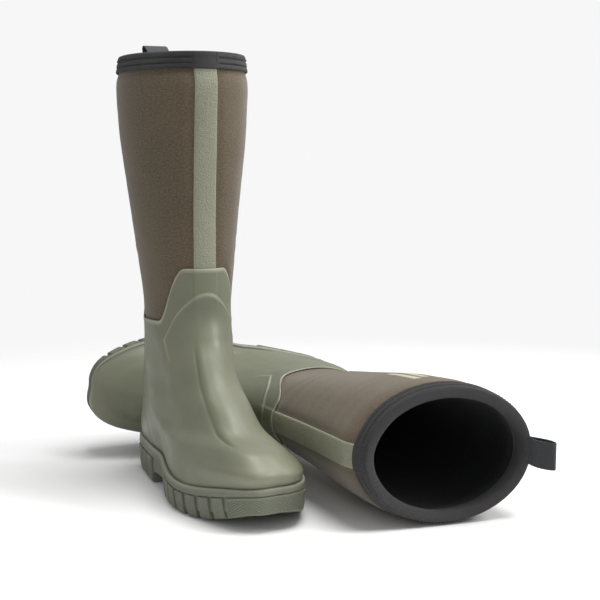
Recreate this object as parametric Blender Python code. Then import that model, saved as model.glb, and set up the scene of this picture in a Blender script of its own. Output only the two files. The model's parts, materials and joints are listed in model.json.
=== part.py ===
"""A pair of tall insulated rubber hunting boots: the left one stands, the right one lies on its inner side.

Frame, metres: +Z up, the standing boot's toe points to -Y, its outer side is +X, and the origin is on the
ground under the middle of its heel. Dimensions below are in millimetres unless they say otherwise.
"""

import math

import bmesh
import bpy
import numpy as np
from mathutils import Matrix, Vector

MM = 0.001

# Overall form, one row per height. The columns are: toe reach and height at the toe side, heel reach and
# height at the heel side, half widths at toe, ball, waist and heel, roundness of the plan, dip at the
# ball, how far the toe swings outward, and how much lower the outer side of the toe is.
HEIGHT = 432.0
FORM = np.array(
    [
        (227.5, 41, 65.5, 38, 54.0, 60.0, 43.0, 39.5, 0.60, 11, 26.5, 0),
        (233, 50, 68, 51, 56.5, 58.5, 45.0, 42.5, 0.63, 8, 23, 4),
        (218, 66, 69, 65, 49.5, 53.0, 46.0, 44.0, 0.75, 6, 17.5, 6),
        (184.5, 76, 68, 80, 42.5, 43.5, 45.0, 43.5, 0.84, 4, 13.5, 4),
        (156, 97, 64.5, 95, 37.5, 40.5, 44.0, 43.5, 0.87, 3, 9.5, 0),
        (129, 114, 61.5, 110, 36.0, 38.5, 43.0, 43.5, 0.94, 1, 6, 0),
        (112, 132, 56, 127, 37.0, 39.0, 43.0, 42.5, 0.98, 0, 0, 0),
        (94.5, 155, 51, 150, 38.5, 42.0, 42.5, 42.0, 1, 0, 0, 0),
        (85.5, 185, 49.5, 182, 43.0, 43.0, 43.0, 43.0, 1, 0, 0, 0),
        (85.5, 264, 60.5, 264, 52.5, 52.5, 52.5, 52.5, 1, 0, 0, 0),
        (91, 362, 80, 362, 64.0, 64.0, 64.0, 64.0, 1, 0, 0, 0),
        (93.5, 398, 84.5, 398, 65.5, 65.5, 65.5, 65.5, 1, 0, 0, 0),
        (90.5, 415, 82.5, 415, 64.0, 64.0, 64.0, 64.0, 1, 0, 0, 0),
        (87.5, 432, 79.5, 432, 61.0, 61.0, 61.0, 61.0, 1, 0, 0, 0),
    ],
    float,
)
TOE_SKEW = 1.25  # the inner side of the toe reaches further forward
SHELL_ROWS = np.array([0, 0.5, 1, 2, 3, 4, 5, 5.5, 6, 6.5])
SHAFT_ROWS = np.array([7, 7.5, 8, 8.5, 9, 9.5, 10, 11, 12, 12.75])
WIDTH_PLACES = np.array([0, 0.14, 0.34, 0.62, 0.86, 1.0])

# Layers, as depths below the outer surface.
SHELL_THICKNESS = 1.9
CAP_DEPTH, CAP_THICKNESS = 2.2, 1.0
PANEL_DEPTH, FOOT_PANEL_DEPTH, PANEL_INNER = 2.5, 4.3, 7.0
LINING_DEPTH, LINING_THICKNESS = 8.0, 1.0
STRIP_HALF_WIDTH, STRIP_LOW, STRIP_HIGH = 12.5, 2.1, 0.9

# Edge heights of the rubber shell and of the overlay on the front of the ankle.
SHELL_FRONT, SHELL_SIDE, SHELL_BACK = 222.0, 168.0, 215.0
OVERLAY_TOP, OVERLAY_SIDE = 199.0, 150.0

# Binding around the top edge, as (offset, drop below the rim): three bands outside, a plain leg inside.
BINDING = [
    (-0.6, 17.0), (0.6, 17.0), (0.9, 12.4), (0.1, 11.4), (0.9, 10.4), (1.0, 6.4),
    (0.1, 5.6), (0.8, 4.8), (0.3, 0.6), (-2.5, 0.0), (-8.0, 0.0), (-10.4, 1.6),
    (-10.4, 15.0), (-9.2, 15.0), (-9.2, 3.4), (-0.6, 3.4),
]

# Sole.
TOE_SPRING, SPRING_START = 16.0, 145.0
SOLE_WALL = [(0.5, 0.0), (3.2, 0.22), (4.2, 0.62), (3.4, 0.72), (3.4, 1.0)]
RECESS_INSET, RECESS_DEPTH = 2.5, 10.0
LUG_GAP, LUG_DEPTH, LUG_LENGTH = 4.6, 15.0, 17.0
HEEL_GAPS = (-44, -22, 0)
FOREFOOT_GAPS = (92, 111, 130, 149, 168, 187, 206)
ARCH = [(24, -2), (34, 13.5), (66, 11.5), (80, -2)]
SHANK_MIDDLE, SHANK_LENGTH, SHANK_WIDTH = 34.0, 120.0, 20.0
INSOLE_INSET, INSOLE_SLIM = 13.6, 6.0

# Pull tab: a loop of webbing on the back of the rim.
TAB_WIDTH, TAB_LENGTH, TAB_THICKNESS, TAB_BULGE = 25.0, 37.0, 1.4, 6.6
TAB_BASE_GAP, TAB_DEPTH = 0.6, 5.0
LEFT_TAB_LEAN, RIGHT_TAB_LEAN = math.radians(62), math.radians(4)

# Plain raised bars on the outer side of the shaft, as (angle, half width in degrees, low, high).
MARKS = {"side_mark_front": (84, 2.6, 340, 392), "side_mark_rear": (92, 2.6, 348, 384)}

# The lying boot's soft shaft is twisted, from nothing at the ankle to all of it near the rim, and bends
# towards its heel side.
SHAFT_TWIST = math.radians(3.6)
TWIST_FROM, TWIST_TO = 150.0, 400.0
SHAFT_BEND, BEND_FROM = 14.0, 170.0

# Where the lying boot rests. The roll tips it onto the sole edge and the rim.
LYING_PLACE = (162.8, 165.4)
LYING_ROLL = math.radians(-2.8)

COLOURS = {
    "rubber": (0.19, 0.20, 0.15, 0.55),
    "lugs": (0.17, 0.18, 0.14, 0.7),
    "neoprene": (0.12, 0.10, 0.07, 0.9),
    "binding": (0.03, 0.03, 0.035, 0.85),
    "lining": (0.02, 0.02, 0.022, 0.95),
    "foam": (0.25, 0.25, 0.24, 0.9),
    "board": (0.35, 0.27, 0.18, 0.9),
    "steel": (0.5, 0.5, 0.52, 0.35),
    "print": (0.45, 0.45, 0.33, 0.6),
}


def smooth_rows(rows, at):
    """Rows of values at fractional row numbers, by monotone cubic interpolation."""
    step = np.diff(rows, axis=0)
    slope = np.zeros_like(rows)
    same = step[:-1] * step[1:] > 0
    total = np.where(same, step[:-1] + step[1:], 1)
    slope[1:-1] = np.where(same, 2 * step[:-1] * step[1:] / total, 0)
    slope[0], slope[-1] = step[0], step[-1]
    at = np.clip(np.asarray(at, float), 0, len(rows) - 1)
    low = np.minimum(at.astype(int), len(rows) - 2)
    t = (at - low)[..., None]
    a, b, da, db = rows[low], rows[low + 1], slope[low], slope[low + 1]
    return (
        a * (1 + 2 * t) * (1 - t) ** 2 + da * t * (1 - t) ** 2
        + b * t * t * (3 - 2 * t) + db * t * t * (t - 1)
    )


def form(level, angle):
    """Point of the outer surface at a row number and an angle from the toe side, positive to the outer side."""
    row = smooth_rows(FORM, level)
    toe, toe_z, heel, heel_z, w0, w1, w2, w3, power, dip, swing, fall = np.moveaxis(row, -1, 0)
    back = (1 - np.cos(angle)) / 2
    widths = np.stack([w0 * 0.95, w0, w1, w2, w3, w3])
    place = np.clip(np.searchsorted(WIDTH_PLACES, back, side="right") - 1, 0, 4)
    t = (back - WIDTH_PLACES[place]) / np.diff(WIDTH_PLACES)[place]
    t = t * t * (3 - 2 * t)
    pick = np.take_along_axis
    low, high = pick(widths, place[None], 0)[0], pick(widths, place[None] + 1, 0)[0]
    half = low + (high - low) * t
    sine = np.sin(angle)
    reach = (toe - heel) / 2 + (toe + heel) / 2 * np.cos(angle)
    reach -= TOE_SKEW * swing * sine * np.maximum(np.cos(angle), 0)
    x = half * np.sign(sine) * np.abs(sine) ** power + swing * reach / FORM[0, 0]
    z = toe_z + (heel_z - toe_z) * back - dip * np.exp(-(((back - 0.33) / 0.2) ** 2))
    z -= fall * sine * (1 - back)
    return np.stack([x, -reach, z], -1)


def surface(level, angle, offset=0.0):
    """The outer surface moved outwards by an offset along its normal."""
    level, angle = np.broadcast_arrays(np.asarray(level, float), np.asarray(angle, float))
    along = form(level, angle + 0.02) - form(level, angle - 0.02)
    up = form(level + 0.02, angle) - form(level - 0.02, angle)
    normal = np.cross(along, up)
    normal /= np.linalg.norm(normal, axis=-1, keepdims=True)
    return form(level, angle) + normal * np.asarray(offset, float)[..., None]


def level_of(height):
    """Row number at a height, measured on the shaft."""
    rows = np.linspace(0, len(FORM) - 1, 400)
    return np.interp(height, smooth_rows(FORM, rows)[:, [1, 3]].mean(1), rows)


def columns(level):
    """Angles of the shared lattice from the toe side round the outer side to the heel side.

    The second and the last but one stay on the edges of the front and the back strip.
    """
    half_width = smooth_rows(FORM, np.asarray(level, float))[..., 4]
    strip = np.arcsin(np.clip(STRIP_HALF_WIDTH / half_width, 0, 0.3))
    spread = np.linspace(0, 1, 11)
    inner = strip[..., None] + (math.pi - 2 * strip[..., None]) * spread
    ends = np.zeros(inner.shape[:-1] + (1,))
    return np.concatenate([ends, inner, ends + math.pi], -1)


def full_columns(level):
    """The lattice all the way round."""
    side = columns(level)
    return np.concatenate([side, -side[..., -2:0:-1]], -1)


def ease(value, low, high):
    t = np.clip((value - low) / (high - low), 0, 1)
    return t * t * (3 - 2 * t)


def shell_edge(angle):
    """Height of the shell's top edge: high at the front and the back, a low U on each side."""
    turn = np.degrees(np.abs(np.arctan2(np.sin(angle), np.cos(angle))))
    front = (SHELL_FRONT - SHELL_SIDE) * (1 - ease(turn, 26, 66))
    back = (SHELL_BACK - SHELL_SIDE) * ease(turn, 114, 154)
    return SHELL_SIDE + front + back


def relaxed(points, twist, bend):
    """Points of a shaft turned about its own length and bent backwards, by more the higher they are."""
    x, y, z = np.moveaxis(np.asarray(points, float), -1, 0)
    turn = twist * ease(z, TWIST_FROM, TWIST_TO)
    back = bend * (np.maximum(z - BEND_FROM, 0) / (HEIGHT - BEND_FROM)) ** 2
    return np.stack([x * np.cos(turn) - y * np.sin(turn), x * np.sin(turn) + y * np.cos(turn) + back, z], -1)


class Builder:
    """Makes the pieces of one boot, either as it stands or mirrored, slack and laid down."""

    def __init__(self, side, mirrored, slack, place, collection):
        self.side, self.mirrored, self.slack = side, mirrored, slack
        self.place, self.collection = place, collection

    def add(self, name, colour, points, faces, origin=(0, 0, 0)):
        origin = relaxed(origin, *self.slack) * MM
        points = relaxed(np.reshape(points, (-1, 3)), *self.slack) * MM - origin
        faces = triangles(faces)
        if self.mirrored:
            points, origin = points * (-1, 1, 1), origin * (-1, 1, 1)
            faces = [face[::-1] for face in faces]
        mesh = bpy.data.meshes.new(f"{self.side}_{name}")
        mesh.from_pydata([tuple(p) for p in points], [], [tuple(f) for f in faces])
        mesh.materials.append(material(colour))
        made = bpy.data.objects.new(mesh.name, mesh)
        made.matrix_world = self.place @ Matrix.Translation(Vector(origin))
        self.collection.objects.link(made)
        return made

    def sheet(self, name, colour, outer, inner, around=False, floor=False):
        """A closed shell between two grids of points. Around joins the sides, floor closes the lowest row."""
        rows, across = outer.shape[:2]
        inside = rows * across
        faces = []
        steps = across if around else across - 1
        for i in range(rows - 1):
            for j in range(steps):
                k = (j + 1) % across
                a, b, c, d = i * across + j, i * across + k, (i + 1) * across + k, (i + 1) * across + j
                for face in triangles([(a, b, c, d)]):
                    faces += [face, [inside + corner for corner in reversed(face)]]
        top = (rows - 1) * across
        for j in range(steps):
            k = (j + 1) % across
            faces.append((top + j, top + k, inside + top + k, inside + top + j))
            if not floor:
                faces.append((k, j, inside + j, inside + k))
        if floor:
            faces += [f[::-1] for f in ladder(across, 0)] + ladder(across, inside)
        if not around:
            for i in range(rows - 1):
                a, b = i * across, (i + 1) * across
                c, d = a + across - 1, b + across - 1
                faces += [(a, b, inside + b, inside + a), (d, c, inside + c, inside + d)]
        return self.add(name, colour, np.concatenate([outer.reshape(-1, 3), inner.reshape(-1, 3)]), faces)

    def stack(self, name, colour, rings, origin=(0, 0, 0)):
        """A solid through closed rings, listed from its bottom outwards and up, with both ends closed."""
        rings = np.asarray(rings)
        count, across = rings.shape[:2]
        faces = [f[::-1] for f in ladder(across, 0)] + ladder(across, (count - 1) * across)
        for i in range(count - 1):
            for j in range(across):
                k = (j + 1) % across
                faces.append((i * across + j, i * across + k, (i + 1) * across + k, (i + 1) * across + j))
        return self.add(name, colour, rings, faces, origin)


def triangles(faces):
    """Faces split from their first corner, so that neighbouring layers and both boots crease alike."""
    return [(face[0], b, c) for face in faces for b, c in zip(face[1:], face[2:])]


def ladder(across, start):
    """Triangles across a ring, from each column to the one opposite it. They face up."""
    faces = [(start, start + 1, start + across - 1)]
    half = across // 2
    for j in range(1, half - 1):
        faces.append((start + j, start + j + 1, start + across - j - 1, start + across - j))
    faces.append((start + half - 1, start + half, start + half + 1))
    return triangles(faces)


def material(name):
    """One plain Principled material per kind of stuff."""
    found = bpy.data.materials.get(name)
    if found:
        return found
    made = bpy.data.materials.new(name)
    made.use_nodes = True
    red, green, blue, roughness = COLOURS[name]
    shader = made.node_tree.nodes["Principled BSDF"]
    shader.inputs["Base Color"].default_value = (red, green, blue, 1)
    shader.inputs["Roughness"].default_value = roughness
    shader.inputs["Metallic"].default_value = 1.0 if name == "steel" else 0.0
    made.diffuse_color = (red, green, blue, 1)
    return made


def floor_ring(inset, rise):
    """A ring inside the feather line, where the upper meets the sole, raised above it."""
    angle = full_columns(0.0)
    ring = surface(0.0, angle)
    heading = ring[:, :2] - np.roll(ring, 1, 0)[:, :2] + np.roll(ring, -1, 0)[:, :2] - ring[:, :2]
    outward = np.stack([-heading[:, 1], heading[:, 0]], 1)
    outward /= np.linalg.norm(outward, axis=1, keepdims=True)
    outward *= np.sign((outward * (ring[:, :2] - (0, -90))).sum(1, keepdims=True))
    ring[:, :2] -= outward * inset
    ring[:, 2] += rise
    return ring


def sole_ring(offset, share):
    """A ring of the outsole's wall, a share of the way from the ground to the feather line."""
    ring = floor_ring(-offset, -0.5)
    spring = TOE_SPRING * np.clip((-ring[:, 1] - SPRING_START) / (FORM[0, 0] - SPRING_START), 0, 1) ** 2
    ring[:, 2] = spring + (ring[:, 2] - spring) * share
    return ring


def sole_cutter(boot):
    """Slots between the lugs, and the arch between the heel and the forefoot, as one helper object."""
    cutter = bmesh.new()
    for gaps, slant in ((HEEL_GAPS, 8), (FOREFOOT_GAPS, 20)):
        for reach in gaps:
            for side in (-1, 1):
                edge = sole_ring(3.4, 0.5)
                near = edge[np.sign(edge[:, 0]) == side]
                width = np.interp(-reach, *np.array(sorted(zip(near[:, 1], near[:, 0]))).T)
                turn = Matrix.Rotation(side * math.radians(slant), 4, "Z")
                spring = TOE_SPRING * max(0, (reach - SPRING_START) / (FORM[0, 0] - SPRING_START)) ** 2
                move = Matrix.Translation((width - side * (LUG_LENGTH / 2 - 6), -reach, spring))
                size = Matrix.Diagonal((LUG_LENGTH + 12, LUG_GAP, 2 * LUG_DEPTH, 1))
                bmesh.ops.create_cube(cutter, size=1, matrix=move @ turn @ size)
    ends = [[cutter.verts.new((x, -u, z)) for u, z in ARCH] for x in (-90, 90)]
    cutter.faces.new(ends[0])
    cutter.faces.new(ends[1][::-1])
    for i in range(len(ARCH)):
        k = (i + 1) % len(ARCH)
        cutter.faces.new((ends[0][k], ends[0][i], ends[1][i], ends[1][k]))
    bmesh.ops.recalc_face_normals(cutter, faces=cutter.faces)
    points = [v.co[:] for v in cutter.verts]
    cutter.verts.index_update()
    faces = [[v.index for v in f.verts] for f in cutter.faces]
    cutter.free()
    made = boot.add("sole_cutter", "lugs", points, faces)
    made.hide_render = True
    made.display_type = "WIRE"
    boot.collection.objects.unlink(made)
    helpers.objects.link(made)
    return made


def make_sole(boot):
    wall = [sole_ring(offset, share) for offset, share in SOLE_WALL]
    recess = [floor_ring(RECESS_INSET, -0.5), floor_ring(RECESS_INSET, -RECESS_DEPTH)]
    outsole = boot.stack("outsole", "lugs", wall + recess)
    cut = outsole.modifiers.new("Lug gaps", "BOOLEAN")
    cut.operation, cut.solver, cut.object = "DIFFERENCE", "EXACT", sole_cutter(boot)
    inset = RECESS_INSET + 0.4
    boot.stack("midsole", "foam", [floor_ring(inset, 0.4 - RECESS_DEPTH), floor_ring(inset, -1.7)])
    turn = np.linspace(0, 2 * math.pi, 17)[:-1]
    floor = floor_ring(0, 0)
    middle = (floor[1:12] + floor[:-12:-1]) / 2
    reach = SHANK_MIDDLE + SHANK_LENGTH / 2 * np.cos(turn)
    height = np.interp(reach, -middle[::-1, 1], middle[::-1, 2])
    width = SHANK_WIDTH / 2 * np.sign(np.sin(turn)) * np.abs(np.sin(turn)) ** 0.4
    plate = np.stack([width + 4, -reach, height], 1)
    boot.stack("shank", "steel", [plate - (0, 0, 0.9), plate + (0, 0, 0.3)])
    boot.stack("insole_board", "board", [floor_ring(3.0, rise) for rise in (0.7, 2.7)])
    # The loose insole is slimmer on its outer side, where the foot narrows above it. Its origin is at its
    # toe end, on the line it is peeled up about.
    slim = INSOLE_INSET + INSOLE_SLIM * np.maximum(np.sin(full_columns(0.0)), 0)[:, None]
    insole = [floor_ring(slim, rise) for rise in (5.2, 9.2)]
    boot.stack("insole", "foam", insole, origin=(0, insole[0][:, 1].min(), insole[0][0, 2]))


def make_upper(boot):
    # Rubber shell: shared rows up to the ankle, then four that follow its curved edge.
    edge = level_of(shell_edge(full_columns(8.0)))
    low, steps = SHELL_ROWS[-1], np.linspace(0.25, 1, 4)[:, None]
    shared = np.broadcast_to(SHELL_ROWS[:, None], (len(SHELL_ROWS), len(edge)))
    rise = np.concatenate([shared, low + (edge - low) * steps])
    around = full_columns(rise[:, 0])
    thin = ease(np.arange(len(rise)), len(SHELL_ROWS) - 1, len(rise) - 1)[:, None]
    boot.sheet("foot_shell", "rubber", surface(rise, around, -0.6 * thin),
               surface(rise, around, 0.3 * thin - SHELL_THICKNESS), around=True)

    # Overlay on the front of the ankle, thinning out over the instep.
    lattice = full_columns(8.0)[np.arange(-4, 5)]
    turn = np.degrees(np.arctan2(np.sin(lattice), np.cos(lattice)))
    top = level_of(OVERLAY_SIDE + (OVERLAY_TOP - OVERLAY_SIDE) * np.cos(np.radians(turn * 1.5)))
    rise = np.concatenate([np.full((3, 9), 5.5) + np.array([[0], [0.5], [1]]), 6.5 + (top - 6.5) * steps])
    angle = full_columns(rise[:, 0])[:, np.arange(-4, 5)]
    swell = np.linspace(0.2, 0.7, len(rise))[:, None]
    boot.sheet("ankle_overlay", "rubber", surface(rise, angle, 0.8 + swell), surface(rise, angle, 0.8))

    # Stiffeners between the shell and the neoprene.
    for name, first, last, rows in (("toe_puff", -4, 4, (0.5, 1, 2)), ("heel_counter", 8, 16, (0.5, 1, 2, 3))):
        rise = np.array(rows)
        angle = full_columns(rise)[:, np.arange(first, last + 1)]
        boot.sheet(name, "board", surface(rise[:, None], angle, -CAP_DEPTH),
                   surface(rise[:, None], angle, -CAP_DEPTH - CAP_THICKNESS))

    # Neoprene, in two halves that meet under the strips.
    rise = np.concatenate([SHELL_ROWS[1:], SHAFT_ROWS])
    depth = FOOT_PANEL_DEPTH + (PANEL_DEPTH - FOOT_PANEL_DEPTH) * ease(rise, 3, 5)
    for name, sign in (("outer_panel", 1), ("inner_panel", -1)):
        angle = columns(rise)
        angle[:, 0], angle[:, -1] = 0.006, math.pi - 0.006
        angle = angle if sign > 0 else -angle[:, ::-1]
        boot.sheet(name, "neoprene", surface(rise[:, None], angle, -depth[:, None]),
                   surface(rise[:, None], angle, -PANEL_INNER))

    # Lining, a sock closed under the foot.
    angle = full_columns(rise)
    outer = surface(rise[:, None], angle, -LINING_DEPTH)
    inner = surface(rise[:, None], angle, -LINING_DEPTH - LINING_THICKNESS)
    outer[0, :, 2] = floor_ring(0, 3.3)[:, 2]
    inner[0, :, 2] = floor_ring(0, 4.5)[:, 2]
    boot.sheet("lining", "lining", outer, inner, around=True, floor=True)

    # Strips up the front and the back of the shaft.
    for name, columns_of_strip, foot in (("shin_strip", (-1, 0, 1), SHELL_FRONT),
                                         ("back_strip", (11, 12, 13), SHELL_BACK)):
        rise = np.array([level_of(foot + 0.9), 9, 9.5, 10, 11, 12, level_of(HEIGHT - 9)])
        angle = full_columns(rise)[:, columns_of_strip]
        boot.sheet(name, "rubber", surface(rise[:, None], angle, -STRIP_HIGH),
                   surface(rise[:, None], angle, -STRIP_LOW))

    for name, (turn, half, low_end, high_end) in MARKS.items():
        rise = level_of(np.linspace(low_end, high_end, 4))[:, None]
        angle = np.radians(np.linspace(turn - half, turn + half, 3))
        boot.sheet(name, "print", surface(rise, angle, 0.45 - PANEL_DEPTH),
                   surface(rise, angle, 0.1 - PANEL_DEPTH))


def make_binding(boot):
    rings = []
    for offset, drop in BINDING:
        level = np.array(level_of(HEIGHT - drop))
        rings.append(surface(level, full_columns(level), offset))
    rings = np.array(rings)
    count, across = rings.shape[:2]
    faces = []
    for i in range(count):
        for j in range(across):
            m, k = (i + 1) % count, (j + 1) % across
            faces.append((i * across + j, i * across + k, m * across + k, m * across + j))
    boot.add("binding", "binding", rings, faces)


def make_tab(boot, lean):
    """A loop of webbing. Its origin is on the line it swings about, on top of the rim."""
    turn = np.linspace(0, 2 * math.pi, 15)[:-1]
    height = TAB_LENGTH / 2 * (1 - np.cos(turn))
    swell = np.sin(turn) * (0.35 + 0.65 * np.sin(np.minimum(height / TAB_LENGTH, 0.8) * math.pi / 1.6))
    loops = []
    for grow in (0, TAB_THICKNESS):
        depth = (TAB_BULGE - grow) * swell
        rise = grow + height * (TAB_LENGTH - 2 * grow) / TAB_LENGTH
        loops.append(np.stack([depth, rise], 1))
    points, faces = [], []
    for x in (-TAB_WIDTH / 2, TAB_WIDTH / 2):
        for loop in loops:
            for depth, rise in loop:
                y = depth * math.cos(lean) + rise * math.sin(lean)
                points.append((x, y, rise * math.cos(lean) - depth * math.sin(lean)))
    n = len(turn)
    for j in range(n):
        k = (j + 1) % n
        faces += [(k, j, n + j, n + k), (2 * n + j, 2 * n + k, 3 * n + k, 3 * n + j)]
        faces += [(j, k, 2 * n + k, 2 * n + j), (n + k, n + j, 3 * n + j, 3 * n + k)]
    pivot = np.array((0, float(FORM[-1][2]) - TAB_DEPTH, HEIGHT + TAB_BASE_GAP))
    boot.add("pull_tab", "binding", np.array(points) + pivot, faces, origin=pivot)


def make_boot(boot, lean):
    make_sole(boot)
    make_upper(boot)
    make_binding(boot)
    make_tab(boot, lean)


for old in list(bpy.data.objects):
    bpy.data.objects.remove(old)
boots = bpy.data.collections.new("insulated_hunting_boots")
helpers = bpy.data.collections.new("cutters")
bpy.context.scene.collection.children.link(boots)
bpy.context.scene.collection.children.link(helpers)

make_boot(Builder("left", False, (0.0, 0.0), Matrix.Identity(4), boots), LEFT_TAB_LEAN)

# The right boot lies with its outer side up, its toe to -X and its opening to -Y.
onto_side = Matrix(((0, 1, 0), (0, 0, -1), (-1, 0, 0))).to_4x4()
tipped = Matrix.Rotation(LYING_ROLL, 4, "Y") @ onto_side
right = Builder("right", True, (SHAFT_TWIST, SHAFT_BEND), tipped, boots)
make_boot(right, RIGHT_TAB_LEAN)
bpy.context.view_layer.update()
laid = [o for o in boots.objects if o.name.startswith("right")]
lowest = min((o.matrix_world @ v.co).z for o in laid for v in o.data.vertices)
down = Matrix.Translation((LYING_PLACE[0] * MM, LYING_PLACE[1] * MM, -lowest))
for piece in laid + [o for o in helpers.objects if o.name.startswith("right")]:
    piece.matrix_world = down @ piece.matrix_world
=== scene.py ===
"""The looks of a pair of insulated hunting boots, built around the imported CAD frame.

The fine pieces follow the same outer form as the CAD parts: a row of sizes for each height, smoothly joined.
Every shape is worked out for a standing left boot in millimetres, with its toe to -Y, its outer side to +X
and the ground under its heel as origin. The right boot is its mirror image, twisted a little and laid down.
"""

import json
import math

import bpy
import numpy as np
from mathutils import Matrix, Vector, noise


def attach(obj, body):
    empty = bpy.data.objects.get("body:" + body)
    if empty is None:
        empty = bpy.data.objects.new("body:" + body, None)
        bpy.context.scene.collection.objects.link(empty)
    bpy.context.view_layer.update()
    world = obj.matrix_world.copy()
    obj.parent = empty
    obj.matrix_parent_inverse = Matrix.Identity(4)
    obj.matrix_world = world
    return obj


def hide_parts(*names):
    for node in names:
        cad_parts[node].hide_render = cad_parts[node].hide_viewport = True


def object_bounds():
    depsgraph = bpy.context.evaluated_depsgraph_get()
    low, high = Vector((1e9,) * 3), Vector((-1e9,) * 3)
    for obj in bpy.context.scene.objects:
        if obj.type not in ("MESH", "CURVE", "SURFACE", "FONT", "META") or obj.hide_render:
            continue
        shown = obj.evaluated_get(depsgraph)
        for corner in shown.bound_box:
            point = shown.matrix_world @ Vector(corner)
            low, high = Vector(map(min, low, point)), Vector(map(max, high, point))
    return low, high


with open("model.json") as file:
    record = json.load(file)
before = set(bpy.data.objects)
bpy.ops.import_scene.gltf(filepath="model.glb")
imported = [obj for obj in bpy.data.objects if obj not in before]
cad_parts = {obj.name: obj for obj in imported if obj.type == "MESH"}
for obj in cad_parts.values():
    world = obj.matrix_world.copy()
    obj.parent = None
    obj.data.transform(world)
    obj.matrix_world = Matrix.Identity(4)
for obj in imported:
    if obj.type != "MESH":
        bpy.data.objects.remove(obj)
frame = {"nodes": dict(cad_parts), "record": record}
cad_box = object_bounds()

MM = 0.001
FINE = 1.0

# ---------------------------------------------------------------- the outer form, as in the CAD model

HEIGHT = 432.0
# Toe reach and height at the toe side, heel reach and height at the heel side, half widths at toe, ball,
# waist and heel, roundness of the plan, dip at the ball, how far the toe swings outward, and how much lower
# the outer side of the toe is.
FORM = np.array(
    [
        (227.5, 41, 65.5, 38, 54.0, 60.0, 43.0, 39.5, 0.60, 11, 26.5, 0),
        (233, 50, 68, 51, 56.5, 58.5, 45.0, 42.5, 0.63, 8, 23, 4),
        (218, 66, 69, 65, 49.5, 53.0, 46.0, 44.0, 0.75, 6, 17.5, 6),
        (184.5, 76, 68, 80, 42.5, 43.5, 45.0, 43.5, 0.84, 4, 13.5, 4),
        (156, 97, 64.5, 95, 37.5, 40.5, 44.0, 43.5, 0.87, 3, 9.5, 0),
        (129, 114, 61.5, 110, 36.0, 38.5, 43.0, 43.5, 0.94, 1, 6, 0),
        (112, 132, 56, 127, 37.0, 39.0, 43.0, 42.5, 0.98, 0, 0, 0),
        (94.5, 155, 51, 150, 38.5, 42.0, 42.5, 42.0, 1, 0, 0, 0),
        (85.5, 185, 49.5, 182, 43.0, 43.0, 43.0, 43.0, 1, 0, 0, 0),
        (85.5, 264, 60.5, 264, 52.5, 52.5, 52.5, 52.5, 1, 0, 0, 0),
        (91, 362, 80, 362, 64.0, 64.0, 64.0, 64.0, 1, 0, 0, 0),
        (93.5, 398, 84.5, 398, 65.5, 65.5, 65.5, 65.5, 1, 0, 0, 0),
        (90.5, 415, 82.5, 415, 64.0, 64.0, 64.0, 64.0, 1, 0, 0, 0),
        (87.5, 432, 79.5, 432, 61.0, 61.0, 61.0, 61.0, 1, 0, 0, 0),
    ],
    float,
)
TOE_REACH = FORM[0, 0]
TOE_SKEW = 1.25
WIDTH_PLACES = np.array([0, 0.14, 0.34, 0.62, 0.86, 1.0])
SHELL_FRONT, SHELL_SIDE, SHELL_BACK = 222.0, 168.0, 215.0
STRIP_HALF_WIDTH = 12.5
TOE_SPRING, SPRING_START = 16.0, 145.0
HEEL_GAPS = (-44, -22, 0)
FOREFOOT_GAPS = (92, 111, 130, 149, 168, 187, 206)
ARCH_START, ARCH_END = 24.0, 80.0

# How the right boot lies: its soft shaft is twisted and bent back a little, and it is rolled onto its sole.
SHAFT_TWIST = math.radians(3.6)
TWIST_FROM, TWIST_TO = 150.0, 400.0
SHAFT_BEND, BEND_FROM = 14.0, 170.0
LYING_ROLL = math.radians(-2.8)


def smooth_rows(rows, at):
    """Rows of values at fractional row numbers, by monotone cubic interpolation."""
    step = np.diff(rows, axis=0)
    slope = np.zeros_like(rows)
    same = step[:-1] * step[1:] > 0
    total = np.where(same, step[:-1] + step[1:], 1)
    slope[1:-1] = np.where(same, 2 * step[:-1] * step[1:] / total, 0)
    slope[0], slope[-1] = step[0], step[-1]
    at = np.clip(np.asarray(at, float), 0, len(rows) - 1)
    low = np.minimum(at.astype(int), len(rows) - 2)
    t = (at - low)[..., None]
    a, b, da, db = rows[low], rows[low + 1], slope[low], slope[low + 1]
    return (
        a * (1 + 2 * t) * (1 - t) ** 2 + da * t * (1 - t) ** 2
        + b * t * t * (3 - 2 * t) + db * t * t * (t - 1)
    )


def form(level, angle):
    """Point of the outer surface at a row number and an angle from the toe, positive to the outer side."""
    row = smooth_rows(FORM, level)
    toe, toe_z, heel, heel_z, w0, w1, w2, w3, power, dip, swing, fall = np.moveaxis(row, -1, 0)
    back = (1 - np.cos(angle)) / 2
    widths = np.stack([w0 * 0.95, w0, w1, w2, w3, w3])
    place = np.clip(np.searchsorted(WIDTH_PLACES, back, side="right") - 1, 0, 4)
    t = ease((back - WIDTH_PLACES[place]) / np.diff(WIDTH_PLACES)[place], 0, 1)
    low = np.take_along_axis(widths, place[None], 0)[0]
    high = np.take_along_axis(widths, place[None] + 1, 0)[0]
    half = low + (high - low) * t
    sine = np.sin(angle)
    reach = (toe - heel) / 2 + (toe + heel) / 2 * np.cos(angle)
    reach -= TOE_SKEW * swing * sine * np.maximum(np.cos(angle), 0)
    x = half * np.sign(sine) * np.abs(sine) ** power + swing * reach / TOE_REACH
    z = toe_z + (heel_z - toe_z) * back - dip * np.exp(-(((back - 0.33) / 0.2) ** 2))
    z -= fall * sine * (1 - back)
    return np.stack([x, -reach, z], -1)


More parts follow.
